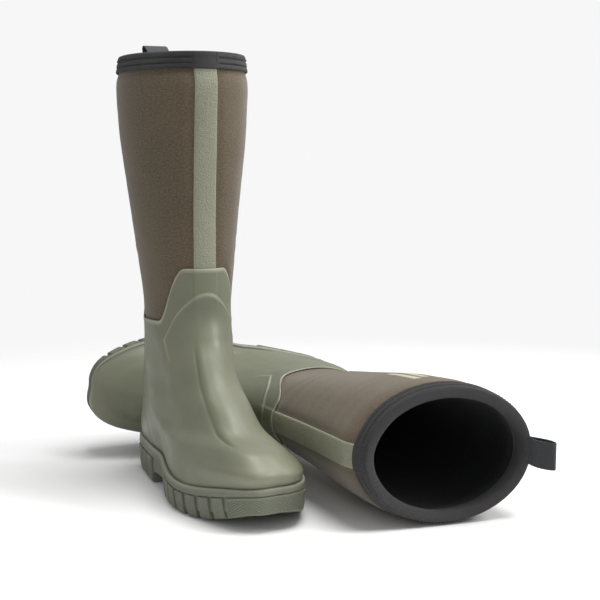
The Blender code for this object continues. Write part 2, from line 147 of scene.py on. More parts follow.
def surface(level, angle, offset=0.0):
    """The outer surface moved outwards by an offset along its normal."""
    level, angle = np.broadcast_arrays(np.asarray(level, float), np.asarray(angle, float))
    along = form(level, angle + 0.02) - form(level, angle - 0.02)
    up = form(level + 0.02, angle) - form(level - 0.02, angle)
    normal = np.cross(along, up)
    normal /= np.linalg.norm(normal, axis=-1, keepdims=True)
    return form(level, angle) + normal * np.asarray(offset, float)[..., None]


def ease(value, low, high):
    t = np.clip((value - low) / (high - low), 0, 1)
    return t * t * (3 - 2 * t)


def level_of(height):
    """Row number at a height, measured on the shaft."""
    rows = np.linspace(0, len(FORM) - 1, 400)
    return np.interp(height, smooth_rows(FORM, rows)[:, [1, 3]].mean(1), rows)


def turn_of(angle):
    """Degrees away from the toe side."""
    return np.degrees(np.abs(np.arctan2(np.sin(angle), np.cos(angle))))


def shell_edge(angle):
    """Height of the rubber shell's top edge: high at the front and the back, a low U on each side."""
    turn = turn_of(angle)
    front = (SHELL_FRONT - SHELL_SIDE) * (1 - ease(turn, 26, 66))
    back = (SHELL_BACK - SHELL_SIDE) * ease(turn, 114, 154)
    return SHELL_SIDE + front + back


def strip_angle(level, x, at_back):
    """Angle at which the surface stands x beside the middle of the front or the back."""
    half_width = smooth_rows(FORM, np.asarray(level, float))[..., 4]
    angle = np.arcsin(np.clip(x / half_width, -0.9, 0.9))
    return math.pi - angle if at_back else angle


def wavy(points, size, seed):
    """Smooth noise of about -1 to 1 at points, its features as large as size, in millimetres."""
    flat = points.reshape(-1, 3) / size + seed
    return np.array([noise.noise(p) for p in flat.tolist()]).reshape(points.shape[:-1])


# ---------------------------------------------------------------- making pieces

joint_places = {j["name"]: j for j in frame["record"]["behaviour"]["joints"]}


class Boot:
    """One boot of the pair: where its millimetre points go, and the body its pieces ride on."""

    def __init__(self, side):
        self.side = side
        self.right = side == "right"
        self.turn = Matrix.Identity(3)
        self.move = np.zeros(3)
        if self.right:
            onto_side = Matrix(((0, 1, 0), (0, 0, -1), (-1, 0, 0)))
            self.turn = Matrix.Rotation(LYING_ROLL, 3, "Y") @ onto_side
            standing = np.array(joint_places["left_insole_lift"]["pos_m"])
            lying = np.array(joint_places["right_insole_lift"]["pos_m"])
            self.move = lying - np.array(self.turn) @ (standing * (-1, 1, 1))

    def world(self, points):
        """Millimetre points of the standing left boot as metres in the row frame."""
        x, y, z = np.moveaxis(np.asarray(points, float).reshape(-1, 3), -1, 0)
        if not self.right:
            return np.stack([x, y, z], -1) * MM
        turn = SHAFT_TWIST * ease(z, TWIST_FROM, TWIST_TO)
        x, y = x * np.cos(turn) - y * np.sin(turn), x * np.sin(turn) + y * np.cos(turn)
        y += SHAFT_BEND * (np.maximum(z - BEND_FROM, 0) / (HEIGHT - BEND_FROM)) ** 2
        return np.stack([-x, y, z], -1) * MM @ np.array(self.turn).T + self.move

    def add(self, name, points, faces, material, slot, replaces=(), body="boot", uv=None, wear=None,
            sharp=40):
        """A mesh piece. uv is one place in metres per point, and the painted highlight is 0 to 1 per point:
        how much pale painted highlight the rubber gets there.
        """
        faces = [tuple(f) for f in faces]
        if self.right:
            faces = [f[::-1] for f in faces]
        mesh = bpy.data.meshes.new(f"{self.side}_{name}_fine")
        mesh.from_pydata(self.world(points).tolist(), [], faces)
        mesh.materials.append(material)
        corners = np.empty(len(mesh.loops), np.int32)
        mesh.loops.foreach_get("vertex_index", corners)
        if uv is not None:
            layer = mesh.uv_layers.new(name="pattern")
            layer.data.foreach_set("uv", np.asarray(uv, float).reshape(-1, 2)[corners].ravel())
        if wear is not None:
            layer = mesh.attributes.new("wear", "FLOAT", "POINT")
            layer.data.foreach_set("value", np.asarray(wear, float).ravel())
        mesh.shade_smooth()
        mesh.set_sharp_from_angle(angle=math.radians(sharp))
        made = bpy.data.objects.new(mesh.name, mesh)
        bpy.context.scene.collection.objects.link(made)
        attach(made, f"{self.side}_{body}")
        if replaces:
            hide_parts(*[f"{self.side}_{node}" for node in replaces])
        return made


def loop_faces(rows, across, around):
    """Faces of a grid whose rows close on themselves, as a shell's section does. The columns may too."""
    faces = []
    for i in range(rows):
        k = (i + 1) % rows
        for j in range(across if around else across - 1):
            m = (j + 1) % across
            faces.append((i * across + j, i * across + m, k * across + m, k * across + j))
    return faces


def section_caps(rows, across, outside):
    """Faces that close both ends of a shell: the first outside rows face the rest, listed back to front."""
    faces = []
    for i in range(outside - 1):
        a, b, c, d = i, i + 1, rows - 2 - i, rows - 1 - i
        if b >= c:
            break
        faces.append((a * across, b * across, c * across, d * across))
        faces.append(tuple(n * across + across - 1 for n in (d, c, b, a)))
    return faces


def end_faces(rows, across):
    """One face over each open end of a grid whose rows close on themselves."""
    first = tuple(i * across for i in range(rows))
    last = tuple(i * across + across - 1 for i in range(rows))
    return [first, last[::-1]]


def lengths(points, axis):
    """Distance run along one axis of a grid, in metres, measured along the middle of the other axis."""
    line = np.take(points, points.shape[1 - axis] // 2, 1 - axis)
    return np.concatenate([[0], np.cumsum(np.linalg.norm(np.diff(line, axis=0), axis=1))]) * MM


def grid_uv(points):
    along, up = np.meshgrid(lengths(points, 1), lengths(points, 0))
    return np.stack([along, up], -1)


def ladder(across, start):
    """Faces across a ring, from each column to the one opposite it. They face up."""
    faces = [(start, start + 1, start + across - 1)]
    half = across // 2
    for j in range(1, half - 1):
        faces.append((start + j, start + j + 1, start + across - j - 1, start + across - j))
    faces.append((start + half - 1, start + half, start + half + 1))
    return faces


def joined(parts):
    """Several (points, faces) as one."""
    points, faces, start = [], [], 0
    for some_points, some_faces in parts:
        some_points = np.asarray(some_points).reshape(-1, 3)
        points.append(some_points)
        faces += [tuple(i + start for i in f) for f in some_faces]
        start += len(some_points)
    return np.concatenate(points), faces


# ---------------------------------------------------------------- materials


class Shader:
    """A Principled material with short calls for the nodes that make its pattern."""

    def __init__(self, name, roughness, metallic=0.0, specular=0.5, sheen=0.0, coat=0.0):
        self.material = bpy.data.materials.new(name)
        self.material.use_nodes = True
        self.tree = self.material.node_tree
        self.main = self.tree.nodes["Principled BSDF"]
        self.set(self.main, Roughness=roughness, Metallic=metallic, **{"Specular IOR Level": specular})
        self.set(self.main, **{"Sheen Weight": sheen, "Sheen Roughness": 0.45, "Coat Weight": coat})

    def set(self, node, **values):
        for name, value in values.items():
            node.inputs[name].default_value = value

    def node(self, kind, settings=(), **inputs):
        made = self.tree.nodes.new("ShaderNode" + kind)
        for name, value in dict(settings).items():
            setattr(made, name, value)
        for name, value in inputs.items():
            self.put(made.inputs[name.replace("_", " ")], value)
        return made

    def put(self, socket, value):
        if isinstance(value, bpy.types.NodeSocket):
            self.tree.links.new(value, socket)
        else:
            socket.default_value = value

    def place(self, stretch=(1, 1, 1), pattern=False):
        """Object coordinates, or the piece's own pattern coordinates, stretched."""
        if pattern:
            where = self.node("UVMap", {"uv_map": "pattern"}).outputs["UV"]
        else:
            where = self.node("TexCoord").outputs["Object"]
        return self.node("Mapping", Vector=where, Scale=stretch).outputs["Vector"]

    def noise(self, scale, detail=3.0, stretch=(1, 1, 1), pattern=False):
        vector = self.place(stretch, pattern)
        return self.node("TexNoise", Vector=vector, Scale=scale, Detail=detail).outputs["Fac"]

    def cells(self, scale, stretch=(1, 1, 1), pattern=False):
        vector = self.place(stretch, pattern)
        return self.node("TexVoronoi", Vector=vector, Scale=scale).outputs["Distance"]

    def wave(self, scale, direction="X", distortion=0.0):
        settings = {"wave_type": "BANDS", "bands_direction": direction, "wave_profile": "SIN"}
        vector = self.place(pattern=True)
        made = self.node("TexWave", settings, Vector=vector, Scale=scale, Distortion=distortion)
        return made.outputs["Fac"]

    def math(self, kind, a, b):
        made = self.node("Math", {"operation": kind})
        self.put(made.inputs[0], a)
        self.put(made.inputs[1], b)
        return made.outputs["Value"]

    def span(self, value, low, high, start=0.0, end=1.0):
        """A value from start to end, as low to high."""
        made = self.node("MapRange")
        for name, what in (("Value", value), ("From Min", start), ("From Max", end), ("To Min", low),
                           ("To Max", high)):
            self.put(made.inputs[name], what)
        return made.outputs["Result"]

    def blend(self, factor, first, second, kind="MIX"):
        made = self.node("Mix", {"data_type": "RGBA", "blend_type": kind})
        colours = [s for s in made.inputs if s.type == "RGBA"]
        self.put(made.inputs["Factor"], factor)
        for socket, value in zip(colours, (first, second)):
            self.put(socket, value if isinstance(value, bpy.types.NodeSocket) else (*value, 1))
        return next(s for s in made.outputs if s.type == "RGBA")

    def attribute(self, name):
        return self.node("Attribute", {"attribute_name": name}).outputs["Fac"]

    def finish(self, colour, height=None, depth=0.0, roughness=None):
        self.put(self.main.inputs["Base Color"], colour)
        if roughness is not None:
            self.put(self.main.inputs["Roughness"], roughness)
        if height is not None:
            bump = self.node("Bump", Height=height, Distance=depth, Strength=1.0)
            self.put(self.main.inputs["Normal"], bump.outputs["Normal"])
        return self.material


def shade(red, green, blue):
    """A screen colour of 0 to 255 as the linear colour that a shader takes."""
    screen = (red / 255, green / 255, blue / 255)
    return tuple(c / 12.92 if c < 0.0404 else ((c + 0.055) / 1.055) ** 2.4 for c in screen)


def rubber(name, light, dark, grain_size, grain_depth, roughness):
    """Moulded rubber: cloudy colour, a fine moulded grain, and a painted highlight that makes it paler along
    lit edges and on the toe.
    """
    s = Shader(name, roughness, specular=0.42)
    clouds = s.noise(14, 4)
    specks = s.noise(900, 2)
    tone = s.blend(s.span(clouds, 0, 1, 0.3, 0.7), dark, light)
    tone = s.blend(s.span(specks, 0.0, 0.22, 0.5, 0.75), tone, tuple(c * 1.35 for c in light))
    # Painted highlight: the point attribute mixes in a pale colour along lit edges of the rubber and on the
    # toe.
    tone = s.blend(s.math("MULTIPLY", s.attribute("wear"), 0.55), tone, shade(171, 171, 150))
    grain = s.math("ADD", s.noise(1 / grain_size, 2), s.math("MULTIPLY", s.cells(1 / grain_size), 0.5))
    rough = s.span(s.noise(60, 3), roughness - 0.06, roughness + 0.08, 0.3, 0.7)
    return s.finish(tone, grain, grain_depth, rough)


def knit(name, light, dark):
    """Jersey knit bonded to neoprene foam: fine rows across, cloudy colour, soft sheen."""
    s = Shader(name, 0.92, specular=0.2, sheen=0.22)
    rows = s.noise(1 / 0.0012, 2, (0.35, 1, 1), True)
    loops = s.noise(1 / 0.0030, 2, (1, 1.6, 1), True)
    clouds = s.noise(9, 3)
    tone = s.blend(s.span(clouds, 0, 1, 0.32, 0.68), dark, light)
    yarn = s.math("ADD", s.math("MULTIPLY", rows, 0.6), s.math("MULTIPLY", loops, 0.4))
    tone = s.blend(s.span(yarn, 0.0, 0.55, 0.42, 0.62), tone, tuple(c * 1.5 for c in light))
    return s.finish(tone, yarn, 0.00035)


def ribbed_tape(name, light, dark, pitch, depth, sheen=0.15):
    """Elastic tape: fine ribs across its length, painted shade in the grooves between them, and a fuzzy,
    uneven tone.
    """
    s = Shader(name, 0.85, specular=0.25, sheen=sheen)
    ribs = s.wave(1 / pitch, "X", 0.6)
    fuzz = s.noise(1500, 3)
    tone = s.blend(s.span(fuzz, 0, 1, 0.35, 0.7), dark, light)
    # Painted shade: the grooves between the ribs are darkened towards half of the dark colour.
    tone = s.blend(s.span(ribs, 0.35, 0.0), tone, tuple(c * 0.5 for c in dark))
    height = s.math("ADD", ribs, s.math("MULTIPLY", fuzz, 0.6))
    return s.finish(tone, height, depth)


def webbing(name, light, dark):
    """Woven webbing: a twill of slanting ribs."""
    s = Shader(name, 0.7, specular=0.35, sheen=0.1)
    warp = s.wave(420, "X", 0.3)
    weft = s.wave(300, "DIAGONAL", 0.2)
    weave = s.math("ADD", s.math("MULTIPLY", warp, 0.5), s.math("MULTIPLY", weft, 0.5))
    tone = s.blend(s.span(weave, 0, 1, 0.2, 0.8), dark, light)
    return s.finish(tone, weave, 0.0004)


def fleece(name, light, dark, size):
    """Brushed knit or felt: soft tufts with no direction."""
    s = Shader(name, 0.95, specular=0.1, sheen=0.12)
    tufts = s.noise(1 / size, 4)
    tone = s.blend(s.span(tufts, 0, 1, 0.3, 0.7), dark, light)
    return s.finish(tone, tufts, 0.0006)


def speckled(name, light, dark, size, roughness, depth, metallic=0.0, stretch=(1, 1, 1)):
    """Foam, board or rolled metal: a fine grain in the colour and the surface."""
    s = Shader(name, roughness, metallic)
    grain = s.noise(1 / size, 4, stretch)
    tone = s.blend(s.span(grain, 0, 1, 0.35, 0.65), dark, light)
    return s.finish(tone, grain, depth)


SHELL = rubber("shell_rubber", shade(112, 114, 95), shade(101, 104, 86), 0.0011, 0.00012, 0.42)
STRIP = rubber("strip_rubber", shade(136, 137, 118), shade(123, 125, 106), 0.0016, 0.00080, 0.55)
SOLE = rubber("sole_rubber", shade(108, 111, 97), shade(97, 100, 87), 0.0009, 0.00012, 0.60)
KNIT = knit("neoprene_knit", shade(92, 82, 67), shade(78, 70, 56))
TAPE = ribbed_tape("binding_tape", shade(62, 60, 61), shade(47, 46, 48), 0.0011, 0.00022)
WEBBING = webbing("tab_webbing", shade(66, 67, 70), shade(38, 39, 42))
THREAD = webbing("stitch_thread", shade(64, 62, 64), shade(44, 43, 45))
LINING = fleece("lining_fleece", shade(22, 23, 25), shade(12, 13, 15), 0.0016)
FELT = fleece("insole_felt", shade(84, 84, 88), shade(62, 62, 66), 0.0010)
PRINT = rubber("raised_print", shade(176, 176, 152), shade(164, 165, 140), 0.0008, 0.00006, 0.5)
FOAM = speckled("foam", shade(138, 137, 132), shade(120, 119, 115), 0.0012, 0.9, 0.0003)
BOARD = speckled("fibre_board", shade(166, 146, 116), shade(140, 121, 94), 0.0020, 0.9, 0.0002)
STEEL = speckled("shank_steel", shade(190, 191, 194), shade(160, 161, 165), 0.0015, 0.34, 0.00003,
                 metallic=1.0, stretch=(1, 0.1, 1))


# ---------------------------------------------------------------- upper

# The moulded crease over the instep, as (reach, x): it runs from the ankle down to the toe cap.
CREASE = [(92, -14), (108, -16), (139, -17), (171, -16), (192, -12.5), (207, -7)]


def overlay_top(turn):
    """Height of the ankle overlay's arched top edge, by degrees from the toe side."""
    return 150 + 49 * np.cos(np.radians(np.clip(turn * 1.42, 0, 90)))


def shell_relief(at):
    """How far the rubber stands out of, or into, the plain form at points of it."""
    x, y, z = np.moveaxis(at, -1, 0)
    reach = -y
    aside = x - np.interp(reach, *np.array(CREASE, float).T)
    strength = ease(reach, 88, 104) * (1 - ease(reach, 186, 208)) * ease(z, 60, 75)
    crease = 0.9 * np.exp(-(((aside - 4.5) / 4.0) ** 2)) - 1.5 * np.exp(-((aside / 1.5) ** 2))
    strip = 0.9 * (1 - ease(np.abs(x), 10.8, 13.2)) * ease(z, 168, 205)
    bumper = 0.55 * ease(reach - 150 - 0.9 * (z - 38), -1.2, 1.2) * (1 - ease(z, 52, 60))
    heel_cap = 0.7 * (1 - ease(z + 0.012 * (reach + 62) ** 2, 118, 121)) * ease(-reach, -24, -20)
    return crease * strength + strip + bumper + heel_cap


def make_shell(boot):
    """The rubber foot, with a rolled bead along its top edge."""
    across, rows = int(300 * FINE), int(150 * FINE)
    angle = np.linspace(-math.pi, math.pi, across, endpoint=False)
    top = level_of(shell_edge(angle))
    rise = np.linspace(0, 1, rows)[:, None] ** 0.9
    level = rise * top
    flat = surface(level, np.broadcast_to(angle, level.shape))
    near_top = ease(flat[..., 2] - shell_edge(angle), -5.0, -0.5)
    thin = ease(flat[..., 2] - shell_edge(angle), -40, 0)
    offset = shell_relief(flat) - 0.5 * thin + 0.45 * near_top
    outside = surface(level, angle, offset)
    lip_section = ((0.25, 0.35), (0.8, 0.5), (1.4, 0.2))
    lip = [surface(top, angle, offset[-1] - depth) + (0, 0, up) for depth, up in lip_section]
    inner_level = np.linspace(1, 0, 24)[:, None] * top
    inside = surface(inner_level, angle, -1.9 + 0.15 * ease(inner_level, 5, 8))
    points = np.concatenate([outside, lip, inside])
    # Painted highlight: pale along the outside just under the top edge and over the rolled bead.
    wear = np.zeros(points.shape[:2])
    wear[:rows] = ease(flat[..., 2] - shell_edge(angle), -2.6, -0.8)
    wear[rows:rows + 3] = 1.0
    # Painted highlight on the low front of the toe, where the toe cap catches the light.
    wear[:rows] += 0.25 * ease(-flat[..., 1], 200, 235) * (1 - ease(flat[..., 2], 50, 80))
    boot.add("foot_shell", points, loop_faces(len(points), across, True), SHELL, "shell_rubber",
             ["foot_shell"], uv=grid_uv(points), wear=wear, sharp=60)


def make_overlay(boot):
    """The second layer of rubber over the front of the ankle, with an arched, rolled edge."""
    across, rows = int(90 * FINE), int(80 * FINE)
    turn = np.linspace(-62, 62, across)
    top = level_of(overlay_top(np.abs(turn)))
    level = 5.6 + (top - 5.6) * np.linspace(0, 1, rows)[:, None]
    angle = np.broadcast_to(np.radians(turn), level.shape)
    flat = surface(level, angle)
    edge = np.minimum(overlay_top(np.abs(turn)) - flat[..., 2], (62 - np.abs(turn)) * 0.9)
    fade = ease(flat[..., 2], 116, 165)
    rise = shell_relief(flat) - 0.5 * ease(flat[..., 2] - shell_edge(angle), -40, 0)
    stand = (0.2 + 0.75 * ease(edge, 0.2, 2.2) + 0.5 * np.exp(-(((edge - 2.2) / 1.6) ** 2))) * fade
    outside = surface(level, angle, rise + stand - 0.35 * (1 - fade))
    inside = surface(level, angle, rise - 0.9)[::-1]
    points = np.concatenate([outside, inside])
    # Painted highlight: a pale line just inside the arched rolled edge, where the ridge catches the light;
    # none on the inner face.
    wear = np.concatenate([0.8 * np.exp(-(((edge - 1.8) / 1.2) ** 2)) * fade, np.zeros_like(edge)])
    faces = loop_faces(len(points), across, False) + section_caps(len(points), across, rows)
    boot.add("ankle_overlay", points, faces, SHELL, "shell_rubber", ["ankle_overlay"],
             uv=grid_uv(points), wear=wear, sharp=60)


def make_panel(boot, name, sign):
    """One half of the neoprene upper, pulled in along the strips and where it enters the rubber."""
    across, rows = int(110 * FINE), int(170 * FINE)
    level = np.concatenate([np.linspace(0.5, 6.5, 14)[:-1], np.linspace(6.5, 12.75, rows)])[:, None]
    share = (1 - np.cos(np.linspace(0, math.pi, across))) / 2 * 0.35 + np.linspace(0, 1, across) * 0.65
    angle = sign * (0.006 + (math.pi - 0.012) * np.broadcast_to(share, (len(level), across)))
    flat = surface(level, angle)
    depth = 4.3 - 1.8 * ease(level, 3, 5)
    from_strip = np.minimum(np.abs(np.abs(flat[..., 0]) - STRIP_HALF_WIDTH), 40)
    on_side = np.abs(flat[..., 0]) > STRIP_HALF_WIDTH
    puff = np.where(on_side, 1 - np.exp(-((from_strip / 5.0) ** 2)), 0.0)
    over_shell = ease(flat[..., 2] - shell_edge(angle), 0, 9)
    under_binding = ease(HEIGHT - 17 - flat[..., 2], 0, 8)
    swell = 1.35 * puff * over_shell * (0.35 + 0.65 * under_binding)
    ripple = 0.35 * wavy(flat, 48.0, 3.1) + 0.16 * wavy(flat * (0.4, 0.4, 1.6), 17.0, 8.4)
    waist = np.exp(-(((flat[..., 2] - 236) / 20.0) ** 2))
    folds = 0.22 * waist * np.sin(flat[..., 2] / 3.4 + 2.2 * wavy(flat, 30.0, 1.7))
    outside = surface(level, angle, -depth + swell + (ripple + folds) * over_shell * puff)
    inner_level = np.linspace(12.75, 0.5, 30)[:, None]
    inner_angle = np.broadcast_to(angle[0], (30, across))
    points = np.concatenate([outside, surface(inner_level, inner_angle, -7.0)])
    if sign < 0:
        points = points[:, ::-1]
    faces = loop_faces(len(points), across, False) + end_faces(len(points), across)
    boot.add(name, points, faces, KNIT, "neoprene", [name], uv=grid_uv(points), sharp=50)


def make_strip(boot, name, at_back):
    """A pebbled rubber strip with rolled edges, glued over the seam of the two panels."""
    foot = SHELL_BACK if at_back else SHELL_FRONT
    across, rows = int(40 * FINE), int(260 * FINE)
    level = np.linspace(level_of(foot - 6.0), level_of(HEIGHT - 9), rows)[:, None]
    x = STRIP_HALF_WIDTH * np.sin(np.linspace(-math.pi / 2, math.pi / 2, across))
    angle = strip_angle(level, x, at_back)
    flat = surface(level, angle)
    roll = np.sqrt(np.clip(1 - (np.abs(x) / STRIP_HALF_WIDTH) ** 12, 0, 1))
    pebble = 0.10 * wavy(flat, 1.7, 5.0) * roll
    under_shell = 1.0 * (1 - ease(flat[..., 2] - foot, -1.0, 2.0))
    offset = -2.3 + 1.75 * roll + pebble - under_shell
    outside = surface(level, angle, offset)
    inside = surface(level, angle, -2.45)[::-1]
    points = np.concatenate([outside, inside])
    faces = loop_faces(len(points), across, False) + section_caps(len(points), across, rows)
    if at_back:
        faces = [f[::-1] for f in faces]
    # Painted highlight along both rolled edges of the strip; none on its back.
    wear = np.concatenate([np.broadcast_to(0.5 * ease(np.abs(x), 10.6, 11.9), (rows, across)),
                           np.zeros((rows, across))])
    boot.add(name, points, faces, STRIP, "strip_rubber", [name], uv=grid_uv(points), wear=wear, sharp=60)


def make_lining(boot):
    """The inner sock, open at the top and closed under the foot."""
    across, rows = int(120 * FINE), int(90 * FINE)
    angle = np.linspace(-math.pi, math.pi, across, endpoint=False)
    level = np.linspace(0.5, 12.75, rows)[:, None]
    inside = surface(level, angle, -8.9 + 0.12 * wavy(surface(level, angle), 14.0, 2.0))
    outside = surface(level, angle, -8.0)
    floor = feather_height(angle)
    inside[0, :, 2], outside[0, :, 2] = floor + 4.5, floor + 3.3
    points = np.concatenate([outside, inside[::-1]])
    faces = loop_faces(2 * rows, across, True)
    faces = [f for f in faces if not (min(f) < across and max(f) >= (2 * rows - 1) * across)]
    faces += [f[::-1] for f in ladder(across, 0)] + ladder(across, (2 * rows - 1) * across)
    boot.add("lining", points, faces, LINING, "lining", ["lining"], uv=grid_uv(points))


def make_insole(boot):
    """The loose insole, with a heel cup and a raised arch."""
    across, rings = 160, 12
    s = np.linspace(0, PERIMETER, across, endpoint=False)
    lower, upper = [], []
    for share in np.linspace(0, 1, rings):
        ring = feather(s, -13.8 - 6.0 * np.where(s < HEEL_RUN, np.sin(math.pi * s / HEEL_RUN), 0))
        centre = np.stack([np.interp(ring[:, 1], *CENTRE_LINE), ring[:, 1]], 1)
        plan = centre + (ring[:, :2] - centre) * (1 - share * 0.999)
        edge = (1 - share) ** 3
        cup = edge * (1.6 + 2.4 * ease(ring[:, 1], -10, 40) + 2.0 * np.exp(-(((ring[:, 1] + 45) / 30) ** 2)))
        lower.append(np.column_stack([plan, ring[:, 2] + 5.3]))
        upper.append(np.column_stack([plan, ring[:, 2] + 8.3 + cup * (1 - edge ** 6) + 0.6 * (1 - edge)]))
    points = np.concatenate([np.array(upper)[::-1], np.array(lower)])
    faces = []
    for i in range(2 * rings - 1):
        for j in range(across):
            m = (j + 1) % across
            faces.append((i * across + m, i * across + j, (i + 1) * across + j, (i + 1) * across + m))
    faces += ladder(across, 0) + [f[::-1] for f in ladder(across, (2 * rings - 1) * across)]
    made = boot.add("insole", points, faces, FELT, "insole_felt", ["insole"], body="insole_body")


def make_marks(boot):
    """Two plain raised bars on the outer side of the shaft."""
    for name, middle, low, high in (("side_mark_front", 84, 340, 392), ("side_mark_rear", 92, 348, 384)):
        across, rows = 16, int(60 * FINE)
        height = np.linspace(low, high, rows)[:, None]
        level = level_of(height)
        taper = np.sqrt(np.clip(1 - (np.abs(height - (low + high) / 2) / ((high - low) / 2)) ** 16, 0, 1))
        turn = 2.6 * np.sin(np.linspace(-math.pi / 2, math.pi / 2, across)) * (0.75 + 0.25 * taper)
        angle = np.radians(middle + turn)
        roll = np.sqrt(np.clip(1 - (np.abs(turn) / 2.6) ** 6, 0, 1)) * taper
        outside = surface(level, angle, -1.5 + 0.7 * roll)
        points = np.concatenate([outside, surface(level, angle, -2.2)[::-1]])
        faces = loop_faces(2 * rows, across, False) + section_caps(2 * rows, across, rows)
        boot.add(name, points, faces, PRINT, "print", [name], wear=np.zeros(points.shape[:2]))


# ---------------------------------------------------------------- binding and pull tab

# Outside of the binding, as (drop below the rim, offset): a rolled top band, a second band, a thin third one.
BANDS = np.array([
    (0.6, 0.35), (1.4, 0.85), (3.4, 1.05), (5.4, 0.95), (6.2, 0.55), (6.6, -0.15), (7.0, 0.5), (7.8, 0.95),
    (9.6, 1.0), (11.0, 0.9), (11.6, 0.4), (12.0, -0.3), (12.5, 0.3), (13.2, 0.75), (15.4, 0.8), (16.6, 0.45),
    (17.0, -0.4),
])


def make_binding(boot):
    """Elastic tape folded over the rim: three bands outside, a plain join at the shin strip, a wide face."""
    across = int(360 * FINE)
    angle = np.linspace(-math.pi, math.pi, across, endpoint=False)
    front = surface(level_of(HEIGHT - 8.0), angle)
    on_join = (1 - ease(np.abs(front[:, 0]), 12.6, 14.6)) * (np.abs(angle) < 1)
    rows = []
    for drop in np.linspace(17.0, 0.6, int(60 * FINE)):
        banded = np.interp(drop, *BANDS.T)
        plain = 1.15 - 0.9 * (1 - ease(drop, 0.6, 2.2)) - 1.6 * ease(drop, 16.4, 17.0)
        rows.append((drop, banded + (plain - banded) * on_join))
    face = [(0.1, -0.6), (-0.15, -1.8), (-0.25, -4.4), (-0.25, -6.6), (0.1, -8.6), (0.9, -9.9), (2.0, -10.5),
            (6.0, -10.5), (11.0, -10.4), (15.0, -10.2), (15.4, -9.8), (15.0, -9.3), (8.0, -9.2), (3.6, -9.1),
            (3.4, -5.0), (3.4, -0.8), (16.6, -0.8)]
    rows += [(drop, np.full(across, offset)) for drop, offset in face]
    grid = []
    for drop, offset in rows:
        level = np.array(level_of(HEIGHT - max(drop, 0.0)))
        lifted = surface(level, angle, offset) + (0, 0, max(-drop, 0.0))
        grid.append(lifted)
    points = np.array(grid)
    boot.add("binding", points, loop_faces(len(points), across, True), TAPE, "binding", ["binding"],
             uv=grid_uv(points), sharp=50)


def capsule(start, end, radius, away):
    """A stitch between two points: a six-sided thread that dips at both ends."""
    run = np.linspace(0, 1, 5)
    lift = radius * np.array([-0.6, 0.75, 1.0, 0.75, -0.6])
    width = radius * np.array([0.45, 0.95, 1.0, 0.95, 0.45])
    along = (end - start) / np.linalg.norm(end - start)
    across = np.cross(along, away)
    turn = np.arange(6) * math.pi / 3
    rings = [start + (end - start) * t + away * up
             + w * (np.cos(turn)[:, None] * across + np.sin(turn)[:, None] * away)
             for t, up, w in zip(run, lift, width)]
    faces = []
    for i in range(4):
        for j in range(6):
            m = (j + 1) % 6
            faces.append((i * 6 + j, (i + 1) * 6 + j, (i + 1) * 6 + m, i * 6 + m))
    faces += [(0, 1, 2, 3, 4, 5), (29, 28, 27, 26, 25, 24)]
    return np.concatenate(rings), faces


def stitch_line(points, normals, radius, share):
    """Stitches from point to point along a line. The share of each step that is thread is given."""
    parts = []
    for a, b, away in zip(points[:-1], points[1:], normals[:-1]):
        parts.append(capsule(a, a + (b - a) * share, radius, away))
    return parts


STITCH_DROP, STITCH_STEP = 4.9, 3.6


def make_stitches(boot):
    """A row of stitches round the top band of the binding, and one across it at each end of the join."""
    angle = np.linspace(-math.pi, math.pi, 2000)
    line = surface(level_of(HEIGHT - STITCH_DROP), angle, 1.0)
    run = np.concatenate([[0], np.cumsum(np.linalg.norm(np.diff(line, axis=0), axis=1))])
    at = np.interp(np.arange(0, run[-1], STITCH_STEP), run, angle)
    level = np.full(at.shape, level_of(HEIGHT - STITCH_DROP))
    points = surface(level, at, 0.98)
    normals = surface(level, at, 1.98) - points
    parts = stitch_line(points, normals, 0.36, 0.72)
    for x in (-11.4, 11.4):
        drops = np.arange(1.6, 16.0, 2.4)
        level = level_of(HEIGHT - drops)
        at = strip_angle(level, x, False)
        points = surface(level, at, 1.15)
        normals = surface(level, at, 2.15) - points
        parts += stitch_line(points, normals, 0.34, 0.7)
    points, faces = joined(parts)
    boot.add("binding_stitches", points, faces, THREAD, "webbing")


TAB_WIDTH, TAB_LENGTH, TAB_THICKNESS, TAB_BULGE = 25.0, 37.0, 1.4, 6.6
TAB_BASE_GAP, TAB_DEPTH = 0.6, 5.0
TAB_LEAN = {"left": math.radians(62), "right": math.radians(4)}


def tab_place(boot, across, depth, rise):
    """Points of the pull tab from its own width, depth and rise."""
    lean = TAB_LEAN[boot.side]
    y = depth * math.cos(lean) + rise * math.sin(lean) + FORM[-1, 2] - TAB_DEPTH
    z = rise * math.cos(lean) - depth * math.sin(lean) + HEIGHT + TAB_BASE_GAP
    return np.stack(np.broadcast_arrays(across, y, z), -1)


def tab_loop(grow, turn):
    """The loop's depth and rise at a turn round it, moved inwards by grow."""
    height = TAB_LENGTH / 2 * (1 - np.cos(turn))
    swell = np.sin(turn) * (0.35 + 0.65 * np.sin(np.minimum(height / TAB_LENGTH, 0.8) * math.pi / 1.6))
    return (TAB_BULGE - grow) * swell, grow + height * (TAB_LENGTH - 2 * grow) / TAB_LENGTH


